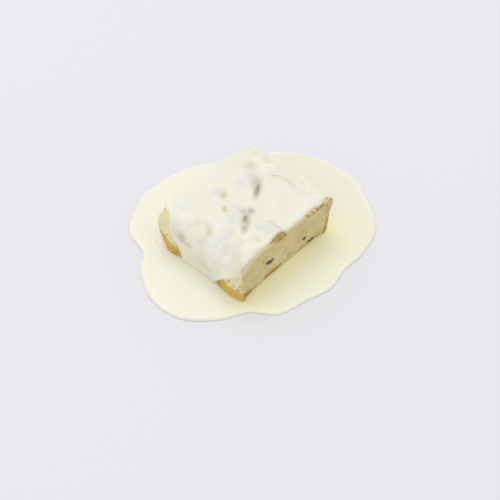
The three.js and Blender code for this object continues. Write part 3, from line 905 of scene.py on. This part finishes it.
def build_coat(context):
    """The sauce on the slice: an upper and an under skin that meet at its rounded edge."""
    settings = context.scene.strudel_sauce
    coat = settings.coat / MM
    lip = settings.lip / MM
    free_edge = free_edge_tree()
    bm = flat_grid(*COAT_GRID)
    thinned, foot, shade, *tinted = add_layers(
        bm, "film", "foot", "shade", "grey_spot", "butter", "lilac_shade"
    )
    for vert in bm.verts:
        base, way = coat_base(vert.co.x, vert.co.y)
        to_edge = free_edge.find(base)[2]
        local_lip = lip * (1 + 0.5 * ripple(base, 6.0, 27.0))
        bead = math.sqrt(max(1 - (1 - clamp(to_edge / local_lip, 0, 1)) ** 2, 0))
        thin = film(base)
        ridge, crease_shade = pleats(base)
        on_top = ramp(base.z, HEIGHT - 9, HEIGHT - 2)
        relief = (coat_relief(base) + ridge * on_top) * (1 - 0.55 * thin)
        thick = max(lerp(coat, FILM_THICKNESS, thin) + relief, LEAST_THICKNESS)
        thick += EDGE_BEAD * bell(to_edge - local_lip, local_lip)
        fillet = FILLET * math.exp(-max(base.z - FOOT_LEVEL, 0) / FILLET_FADE)
        fillet *= ramp(to_edge, 0, 8)
        height = lerp(-EDGE_SUNK, thick + fillet, bead)
        vert.co = sag(*(base + way * height))
        by_cut = ramp(base.x, 28, 33) * bell(to_edge, 1.9)
        vert[thinned] = max(thin, by_cut, 1 - ramp(height, -0.1, 1.0))
        vert[foot] = 1 - ramp(base.z, FOOT_LEVEL, 14)
        # Painted shade: the sauce turns grey where its relief dips into hollows
        hollow_shade = 0.6 * (1 - ramp(relief, -0.9, 0.1))
        # Painted shade: the grey patches, the hollows and the folds below the ridges
        vert[shade] = max(tint(base, SHADES), hollow_shade, crease_shade * on_top)
        for layer, patches in zip(tinted, (GREY_SPOTS, BUTTERS, LILAC_SHADES)):
            vert[layer] = tint(base, patches)
    under = flat_grid(*UNDER_GRID)
    bmesh.ops.reverse_faces(under, faces=under.faces[:])
    for vert in under.verts:
        base, way = coat_base(vert.co.x, vert.co.y)
        vert.co = sag(*(base - way * UNDER_SUNK))
    join(bm, under)
    bmesh.ops.bridge_loops(bm, edges=boundary(bm))
    material = coat_material(settings)
    finish_mesh(bm, "white_sauce_coat", material, ["sauce_coat"])


# Pool of sauce

# The pool's outline: bearings in degrees and reaches
POOL_REACH = (
    (-170, 78.4), (-157, 78.6), (-140, 78.2), (-123, 69.4), (-110, 76), (-92, 81.8), (-76, 81.4),
    (-59, 73.3), (-43, 65.5), (-28, 70.6), (-11, 68.8), (5, 72.6), (20, 72.6), (33, 80.6),
    (50, 89.6), (75, 92.4), (95, 90.3), (112, 84.8), (130, 77.5), (150, 71.6), (168, 75),
)

POOL_GRID = (60, 420)
# How far the pool goes under the slice, and how far it stays below its full depth for its swells
UNDER_SLICE = 2.0
SWELL_ROOM = 0.35
# How round the pool's edge is: 2 would be a quarter of an ellipse
EDGE_ROUNDNESS = 2.2
# The faces of the grid crowd towards the pool's edge by this power
CROWDING = 1.7
FOOT_STEPS = 480
# A drop of butter on the pool, and where the sauce is heaped against the slice's far foot
DROP = {"x": -38.8, "y": -46.8, "up": 0.5, "reach": 1.3}
FAR_MOUND = {"x": 37.0, "y": 42.0, "up": 0.3, "reach": 6}
# Over what distance from the cut's foot the painted shade on the pool fades
PAINTED_SHADE_FADE = 13


def pool_edge_points():
    """The points of the pool's outline, in order of bearing."""
    bearings = ((math.radians(angle), reach) for angle, reach in POOL_REACH)
    return [Vector((math.cos(angle), math.sin(angle))) * reach for angle, reach in bearings]


def pool_outline(t, points):
    """A point of the smooth closed curve through the pool's reaches, for t from 0 to 1."""
    place = t * len(points)
    low = int(place)
    f = place - low
    before, start, end, after = (points[(low + k) % len(points)] for k in (-1, 0, 1, 2))
    return 0.5 * (
        2 * start
        + (end - before) * f
        + (2 * before - 5 * start + 4 * end - after) * f**2
        + (3 * start - before - 3 * end + after) * f**3
    )


def foot_reaches():
    """The slice's outline at the pool's level, as bearings and reaches in order of bearing."""
    reaches = []
    for i in range(FOOT_STEPS):
        a, b = square_bearing(i / FOOT_STEPS)
        x = a * SHOWN_CUT if a > 0 else -a * HIDDEN_CUT
        foot = sag(x, b * (HALF_WIDTH - 0.3), 2.0)
        reaches.append((math.atan2(foot.y, foot.x), math.hypot(foot.x, foot.y)))
    reaches.sort()
    first = (reaches[-1][0] - 2 * math.pi, reaches[-1][1])
    last = (reaches[0][0] + 2 * math.pi, reaches[0][1])
    return [first, *reaches, last]


def build_pool(context):
    """The pool: a ring round the slice's foot with a rounded edge and a flat underside."""
    settings = context.scene.strudel_sauce
    depth = settings.depth / MM - SWELL_ROOM
    edge = settings.edge / MM
    points = pool_edge_points()
    feet = foot_reaches()
    bm = sheet_grid(*POOL_GRID)
    warm_shade_and_drop, thin = add_layers(bm, "warm_shade_and_drop", "thin")
    for vert in bm.verts:
        outline = pool_outline(vert.co.y % 1.0, points)
        outer = outline.length
        way = outline.normalized()
        foot = along(feet, math.atan2(way.y, way.x))
        inward = (outer - foot + UNDER_SLICE) * (1 - vert.co.x) ** CROWDING
        reach = outer - inward
        x = way.x * reach
        y = way.y * reach
        fall = 1 - clamp(inward / edge, 0, 1)
        rise = (1 - fall**EDGE_ROUNDNESS) ** (1 / EDGE_ROUNDNESS)
        drop = near_spot(x, y, DROP)
        swell = 0.08 * ripple((x, y, 0), 26, 2) + 0.02 * ripple((x, y, 0), 9, 5)
        swell += 0.1 * bell(inward - edge * 1.2, edge)
        swell += 0.2 * math.exp(-max(reach - foot, 0) / 1.2)
        swell += FAR_MOUND["up"] * near_spot(x, y, FAR_MOUND) + DROP["up"] * drop
        vert.co = (x, y, rise * (depth + swell))
        # Painted shade beside the shown cut and round its far corner, yellowish with light thrown
        # from the golden cut; the drop of butter is real
        beside = math.hypot(max(x - SHOWN_CUT, 0), max(y - 40, 1.6 * (-38 - y), 0))
        vert[warm_shade_and_drop] = max(ramp(x, 30, SHOWN_CUT) * math.exp(-beside / PAINTED_SHADE_FADE), drop)
        vert[thin] = (1 - ramp(inward, 1.5, 6)) * ramp(y - x, -20, 40)
    bmesh.ops.remove_doubles(bm, verts=bm.verts[:], dist=1e-4)
    face_along(bm, Vector((0, 0, 1)))
    inner_rim = [
        rim for rim in boundary(bm) if min(vert.co.z for vert in rim.verts) > depth * 0.5
    ]
    for item in bmesh.ops.extrude_edge_only(bm, edges=inner_rim)["geom"]:
        if isinstance(item, bmesh.types.BMVert):
            item.co.z = 0.0
    bmesh.ops.bridge_loops(bm, edges=boundary(bm))
    bmesh.ops.recalc_face_normals(bm, faces=bm.faces[:])
    material = pool_material(settings)
    finish_mesh(bm, "vanilla_sauce_pool", material, ["sauce_pool"])


# Materials

# Fixed tints of the baked skin, the quark and the sauces
BAKED_PATCH = srgb(212, 180, 104)
CURD_ON_PASTRY = srgb(213, 200, 155)
# Painted shade in the pits of the cut quark
QUARK_PIT_SHADE = srgb(188, 166, 110)
QUARK_SPECK = srgb(176, 142, 78)
SAUCE_CLOUD = srgb(233, 231, 224)
THIN_POOL = srgb(240, 239, 228)


class Shading:
    """Adds nodes to one node tree and joins them."""

    def __init__(self, tree):
        self.tree = tree

    def feed(self, socket, value):
        """Links an output to a socket, or sets the socket to a value."""
        if isinstance(value, bpy.types.NodeSocket):
            self.tree.links.new(value, socket)
        else:
            socket.default_value = value

    def give(self, node, **inputs):
        """Feeds inputs of a node by their names, with _ for a space."""
        for name, value in inputs.items():
            self.feed(node.inputs[name.replace("_", " ")], value)

    def add(self, kind, settings=None, **inputs):
        """A new node with its settings and inputs."""
        node = self.tree.nodes.new(kind)
        for key, value in (settings or {}).items():
            setattr(node, key, value)
        self.give(node, **inputs)
        return node

    def maths(self, operation, *values):
        node = self.add("ShaderNodeMath", {"operation": operation})
        for socket, value in zip(node.inputs, values):
            self.feed(socket, value)
        return node.outputs[0]

    def mix(self, factor, a, b, share=1.0):
        """Colour a, turned into colour b by the factor or a share of it."""
        if share != 1.0:
            factor = self.maths("MULTIPLY", factor, share)
        node = self.add("ShaderNodeMix", {"data_type": "RGBA"})
        for index, value in ((0, factor), (6, a), (7, b)):
            self.feed(node.inputs[index], value)
        return node.outputs[2]

    def span(self, value, low, high, to_low=0.0, to_high=1.0):
        """Maps a value smoothly from one range to another."""
        node = self.add(
            "ShaderNodeMapRange",
            {"interpolation_type": "SMOOTHSTEP"},
            Value=value,
            From_Min=low,
            From_Max=high,
            To_Min=to_low,
            To_Max=to_high,
        )
        return node.outputs["Result"]

    def noise(self, place, scale, detail, roughness=0.5):
        node = self.add(
            "ShaderNodeTexNoise", Vector=place, Scale=scale, Detail=detail, Roughness=roughness
        )
        return node.outputs[0]

    def mottle(self, place, scale, detail, low, high):
        """Clouds from 0 to 1, with harder edges the closer low and high are."""
        node = self.add(
            "ShaderNodeGroup",
            {"node_tree": mottle_group()},
            Place=place,
            Scale=scale,
            Detail=detail,
            Low=low,
            High=high,
        )
        return node.outputs[0]

    def painted(self, name):
        """A value that was painted on the points of the mesh."""
        return self.add("ShaderNodeAttribute", {"attribute_name": name}).outputs["Fac"]


def mottle_group():
    """The node group of the clouds, which all materials share."""
    if "Mottle" in bpy.data.node_groups:
        return bpy.data.node_groups["Mottle"]
    tree = bpy.data.node_groups.new("Mottle", "ShaderNodeTree")
    inputs = {"Place": (0, 0, 0), "Scale": 200.0, "Detail": 4.0, "Low": 0.35, "High": 0.65}
    for name, value in inputs.items():
        kind = "NodeSocketVector" if name == "Place" else "NodeSocketFloat"
        tree.interface.new_socket(name, in_out="INPUT", socket_type=kind).default_value = value
    tree.interface.new_socket("Mask", in_out="OUTPUT", socket_type="NodeSocketFloat")
    shading = Shading(tree)
    given = shading.add("NodeGroupInput").outputs
    clouds = shading.noise(given["Place"], given["Scale"], given["Detail"])
    shading.add("NodeGroupOutput", Mask=shading.span(clouds, given["Low"], given["High"]))
    return tree


def new_material(name):
    """A material, its nodes, its shader and the place on the mesh that its patterns follow."""
    material = bpy.data.materials.new(name)
    material.use_nodes = True
    material.node_tree.nodes.clear()
    shading = Shading(material.node_tree)
    shader = shading.add("ShaderNodeBsdfPrincipled")
    shading.add("ShaderNodeOutputMaterial", Surface=shader.outputs[0])
    place = shading.add("ShaderNodeTexCoord").outputs["Object"]
    return material, shading, shader, place


def bump(shading, shader, height, strength, distance):
    """Raises the surface where the height is great, by a distance in metres."""
    node = shading.add("ShaderNodeBump", Height=height, Strength=strength, Distance=distance)
    shading.give(shader, Normal=node.outputs[0])


def milky(shading, shader, weight, radius, scale):
    """Lets light into the material, red the farthest, to a depth in metres."""
    shading.give(
        shader, Subsurface_Weight=weight, Subsurface_Radius=radius, Subsurface_Scale=scale
    )


def darker(colour, share):
    """A colour that keeps only a share of its light."""
    return (*(channel * share for channel in colour[:3]), 1.0)


def pastry_material(settings):
    """Baked dough: golden at the foot, paler above, toasted along its edges."""
    material, shading, shader, place = new_material("Baked pastry")
    fine = shading.mottle(place, 650.0, 4.0, 0.3, 0.7)
    crisp = shading.maths("MULTIPLY_ADD", fine, 0.5, shading.painted("gold"))
    colour = shading.mix(shading.span(crisp, 0.15, 1.15), settings.pale, settings.golden)
    patches = shading.mottle(place, 160.0, 3.0, 0.35, 0.7)
    colour = shading.mix(patches, colour, BAKED_PATCH, 0.2)
    colour = shading.mix(shading.painted("curd"), colour, CURD_ON_PASTRY)
    browned = shading.maths("MULTIPLY_ADD", fine, 0.35, shading.painted("toast"))
    colour = shading.mix(shading.span(browned, 0.4, 0.95), colour, settings.brown)
    flakes = shading.noise(place, 900.0, 6.0, 0.65)
    roughness = shading.span(flakes, 0.3, 0.7, 0.5, 0.75)
    shading.give(shader, Base_Color=colour, Roughness=roughness)
    bump(shading, shader, flakes, 0.5, 0.0004)
    milky(shading, shader, 0.15, (1.0, 0.6, 0.3), 0.0015)
    return material


def quark_material(settings):
    """Baked quark: pale, moist and crumbly."""
    material, shading, shader, place = new_material("Baked quark")
    clouds = shading.mottle(place, 150.0, 3.0, 0.3, 0.7)
    colour = shading.mix(clouds, settings.quark, darker(settings.quark, 0.86))
    # Painted shade in the pits of the cut
    colour = shading.mix(shading.painted("pit_shade"), colour, QUARK_PIT_SHADE, 0.35)
    specks = shading.mottle(place, 900.0, 2.0, 0.58, 0.72)
    colour = shading.mix(specks, colour, QUARK_SPECK, 0.35)
    fine = shading.mottle(place, 650.0, 4.0, 0.3, 0.7)
    browned = shading.maths("MULTIPLY_ADD", fine, 0.4, shading.painted("toast"))
    colour = shading.mix(shading.span(browned, 0.45, 1.1), colour, settings.brown)
    grain = shading.noise(place, 1300.0, 4.0, 0.6)
    roughness = shading.span(grain, 0.3, 0.7, 0.4, 0.7)
    shading.give(shader, Base_Color=colour, Roughness=roughness)
    curds = shading.add(
        "ShaderNodeTexVoronoi",
        {"feature": "SMOOTH_F1"},
        Vector=place,
        Scale=620.0,
        Smoothness=0.7,
    )
    rise = shading.maths("MULTIPLY", grain, 0.7)
    rise = shading.maths("SUBTRACT", rise, curds.outputs["Distance"])
    bump(shading, shader, rise, 0.6, 0.0006)
    milky(shading, shader, 0.3, (1.0, 0.8, 0.5), 0.002)
    return material


def raisin_material(settings):
    """Dark raisin skin that turns brown where it is thin or cut, with quark left on it."""
    material, shading, shader, place = new_material("Raisin skin")
    thin = shading.mottle(place, 480.0, 3.0, 0.46, 0.7)
    colour = shading.mix(thin, settings.raisin, settings.raisin_brown)
    smear = shading.mottle(place, 620.0, 5.0, 0.52, 0.66)
    colour = shading.mix(smear, colour, settings.quark, 0.6)
    roughness = shading.span(smear, 0.0, 1.0, 0.35, 0.6)
    shading.give(shader, Base_Color=colour, Roughness=roughness)
    bump(shading, shader, shading.noise(place, 1200.0, 3.0), 0.4, 0.0003)
    return material


def sauce_surface(shading, shader, place, colour, roughness):
    """What both sauces share: a wet skin over a dense, milky body."""
    shading.give(shader, Base_Color=colour, Roughness=roughness, IOR=1.42)
    bump(shading, shader, shading.noise(place, 260.0, 1.0), 0.1, 0.0003)
    milky(shading, shader, 0.5, (1.0, 0.85, 0.6), 0.003)


def coat_material(settings):
    """White sauce on the slice: creamier at its foot, with darker grey spots over its lumps and
    painted shade in its hollows, folds and grey patches.
    """
    material, shading, shader, place = new_material("White sauce")
    colour = shading.mix(shading.painted("foot"), settings.white, settings.cream)
    clouds = shading.mottle(place, 90.0, 2.0, 0.42, 0.72)
    colour = shading.mix(clouds, colour, SAUCE_CLOUD, 0.5)
    # Thin film over the pastry, then painted shade in grey and in cool grey
    for name in ("film", "shade", "lilac_shade"):
        colour = shading.mix(shading.painted(name), colour, getattr(settings, name))
    fine = shading.mottle(place, 520.0, 3.0, 0.3, 0.7)
    speckle = shading.maths("MULTIPLY_ADD", fine, 0.2, 0.85)
    butter = shading.maths("MULTIPLY", shading.painted("butter"), speckle)
    colour = shading.mix(butter, colour, settings.butter)
    # Darker grey-olive spots over the lumps of the sauce, darkest in their middles
    covered = shading.painted("grey_spot")
    grey_spot = shading.span(shading.maths("MULTIPLY", covered, speckle), 0.0, 1.0)
    colour = shading.mix(grey_spot, colour, settings.grey_spot)
    core = shading.span(shading.maths("MULTIPLY_ADD", fine, 0.3, covered), 1.05, 1.75)
    colour = shading.mix(core, colour, settings.grey_spot_core)
    sauce_surface(shading, shader, place, colour, 0.36)
    return material


def pool_material(settings):
    """Cream-coloured sauce in the pool, with yellowish painted shade beside the shown cut."""
    material, shading, shader, place = new_material("Vanilla sauce")
    darker_cream = darker(settings.cream, 0.93)
    # The pool is darker towards the back
    apart = shading.add("ShaderNodeSeparateXYZ", Vector=place)
    far = shading.span(apart.outputs["Y"], 0.02, 0.08)
    colour = shading.mix(far, settings.cream, darker_cream)
    clouds = shading.mottle(place, 30.0, 1.0, 0.3, 0.7)
    colour = shading.mix(clouds, colour, darker_cream, 0.15)
    colour = shading.mix(shading.painted("thin"), colour, THIN_POOL, 0.6)
    # Painted shade beside the shown cut, and the drop of butter
    colour = shading.mix(shading.painted("warm_shade_and_drop"), colour, settings.custard_shade_and_drop)
    sauce_surface(shading, shader, place, colour, 0.28)
    return material


def floor_material(settings):
    """Pale matt floor."""
    material, shading, shader, _ = new_material("Pale floor")
    shading.give(shader, Base_Color=settings.floor, Roughness=0.6)
    return material


# Stage

FLOOR_GAP = 0.00002
FLOOR_HALF = 3.0
KEY_PLACE = (-1.25, 0.35, 1.8)
KEY_AIM = (0, 0, 0.01)
KEY_SIZE = 1.2
SKY_COLOUR = (0.97, 0.98, 1.0, 1.0)
CAMERA_PLACE = (0.4293, -0.4424, 0.7019)
CAMERA_AIM = (0.02288, -0.01849, 0.020)
CAMERA_LENS = 99.9


def aim(thing, place, target):
    """Puts a light or a camera at a place and points it at a target."""
    thing.location = place
    thing.rotation_euler = (Vector(target) - Vector(place)).to_track_quat("-Z", "Y").to_euler()


def build_stage(context):
    """A pale floor, a soft light from high behind on the left, and the camera."""
    scene = context.scene
    settings = scene.strudel_stage
    bm = flat_grid(1, 1, FLOOR_HALF)
    bmesh.ops.translate(bm, verts=bm.verts[:], vec=(0, 0, -FLOOR_GAP))
    floor = add_mesh("floor", bm, floor_material(settings))
    world = bpy.data.worlds.new("Studio")
    world.use_nodes = True
    background = world.node_tree.nodes["Background"]
    background.inputs["Color"].default_value = SKY_COLOUR
    background.inputs["Strength"].default_value = settings.sky
    scene.world = world
    light = bpy.data.lights.new("key_light", "AREA")
    light.shape = "DISK"
    light.size = KEY_SIZE
    light.energy = settings.key
    aim(add_object("key_light", light), KEY_PLACE, KEY_AIM)
    camera = bpy.data.cameras.new("camera")
    camera.lens = CAMERA_LENS
    camera.sensor_width = 36.0
    camera.clip_start = 0.01
    scene.camera = add_object("camera", camera)
    aim(scene.camera, CAMERA_PLACE, CAMERA_AIM)
    scene.view_settings.view_transform = "Standard"


# Operators and panel


class STRUDEL_OT_pastry(bpy.types.Operator):
    """Build the baked pastry"""

    bl_idname = "strudel.pastry"
    bl_label = "Baked pastry"

    def execute(self, context):
        build_pastry(context)
        return {"FINISHED"}


class STRUDEL_OT_filling(bpy.types.Operator):
    """Build the quark filling"""

    bl_idname = "strudel.filling"
    bl_label = "Quark filling"

    def execute(self, context):
        build_filling(context)
        return {"FINISHED"}


class STRUDEL_OT_raisins(bpy.types.Operator):
    """Build the raisins that show on the cut"""

    bl_idname = "strudel.raisins"
    bl_label = "Raisins"

    def execute(self, context):
        material = raisin_material(context.scene.strudel_pastry)
        for raisin in RAISINS:
            build_raisin(raisin, material)
        return {"FINISHED"}


class STRUDEL_OT_coat(bpy.types.Operator):
    """Build the sauce on the slice"""

    bl_idname = "strudel.coat"
    bl_label = "Sauce on the slice"

    def execute(self, context):
        build_coat(context)
        return {"FINISHED"}


class STRUDEL_OT_pool(bpy.types.Operator):
    """Build the pool of sauce"""

    bl_idname = "strudel.pool"
    bl_label = "Pool of sauce"

    def execute(self, context):
        build_pool(context)
        return {"FINISHED"}


class STRUDEL_OT_stage(bpy.types.Operator):
    """Build the floor, the light and the camera"""

    bl_idname = "strudel.stage"
    bl_label = "Stage"

    def execute(self, context):
        build_stage(context)
        return {"FINISHED"}


OPERATORS = (
    STRUDEL_OT_stage,
    STRUDEL_OT_pastry,
    STRUDEL_OT_filling,
    STRUDEL_OT_raisins,
    STRUDEL_OT_coat,
    STRUDEL_OT_pool,
)
SETTINGS = {
    "strudel_pastry": STRUDEL_PG_pastry,
    "strudel_sauce": STRUDEL_PG_sauce,
    "strudel_stage": STRUDEL_PG_stage,
}


class STRUDEL_PT_panel(bpy.types.Panel):
    """Settings and steps of the strudel"""

    bl_idname = "STRUDEL_PT_panel"
    bl_label = "Quark strudel"
    bl_space_type = "VIEW_3D"
    bl_region_type = "UI"
    bl_category = "Strudel"

    def draw(self, context):
        for pointer, group in SETTINGS.items():
            box = self.layout.box()
            for name in group.__annotations__:
                box.prop(getattr(context.scene, pointer), name)
        for operator in OPERATORS:
            self.layout.operator(operator.bl_idname)


CLASSES = (*SETTINGS.values(), *OPERATORS, STRUDEL_PT_panel)


def register():
    for cls in CLASSES:
        bpy.utils.register_class(cls)
    for pointer, group in SETTINGS.items():
        setattr(bpy.types.Scene, pointer, PointerProperty(type=group))


def unregister():
    for pointer in SETTINGS:
        delattr(bpy.types.Scene, pointer)
    for cls in reversed(CLASSES):
        bpy.utils.unregister_class(cls)


def main():
    register()
    bpy.ops.strudel.stage()
    bpy.ops.strudel.pastry()
    bpy.ops.strudel.filling()
    bpy.ops.strudel.raisins()
    bpy.ops.strudel.coat()
    bpy.ops.strudel.pool()


if __name__ == "__main__":
    main()
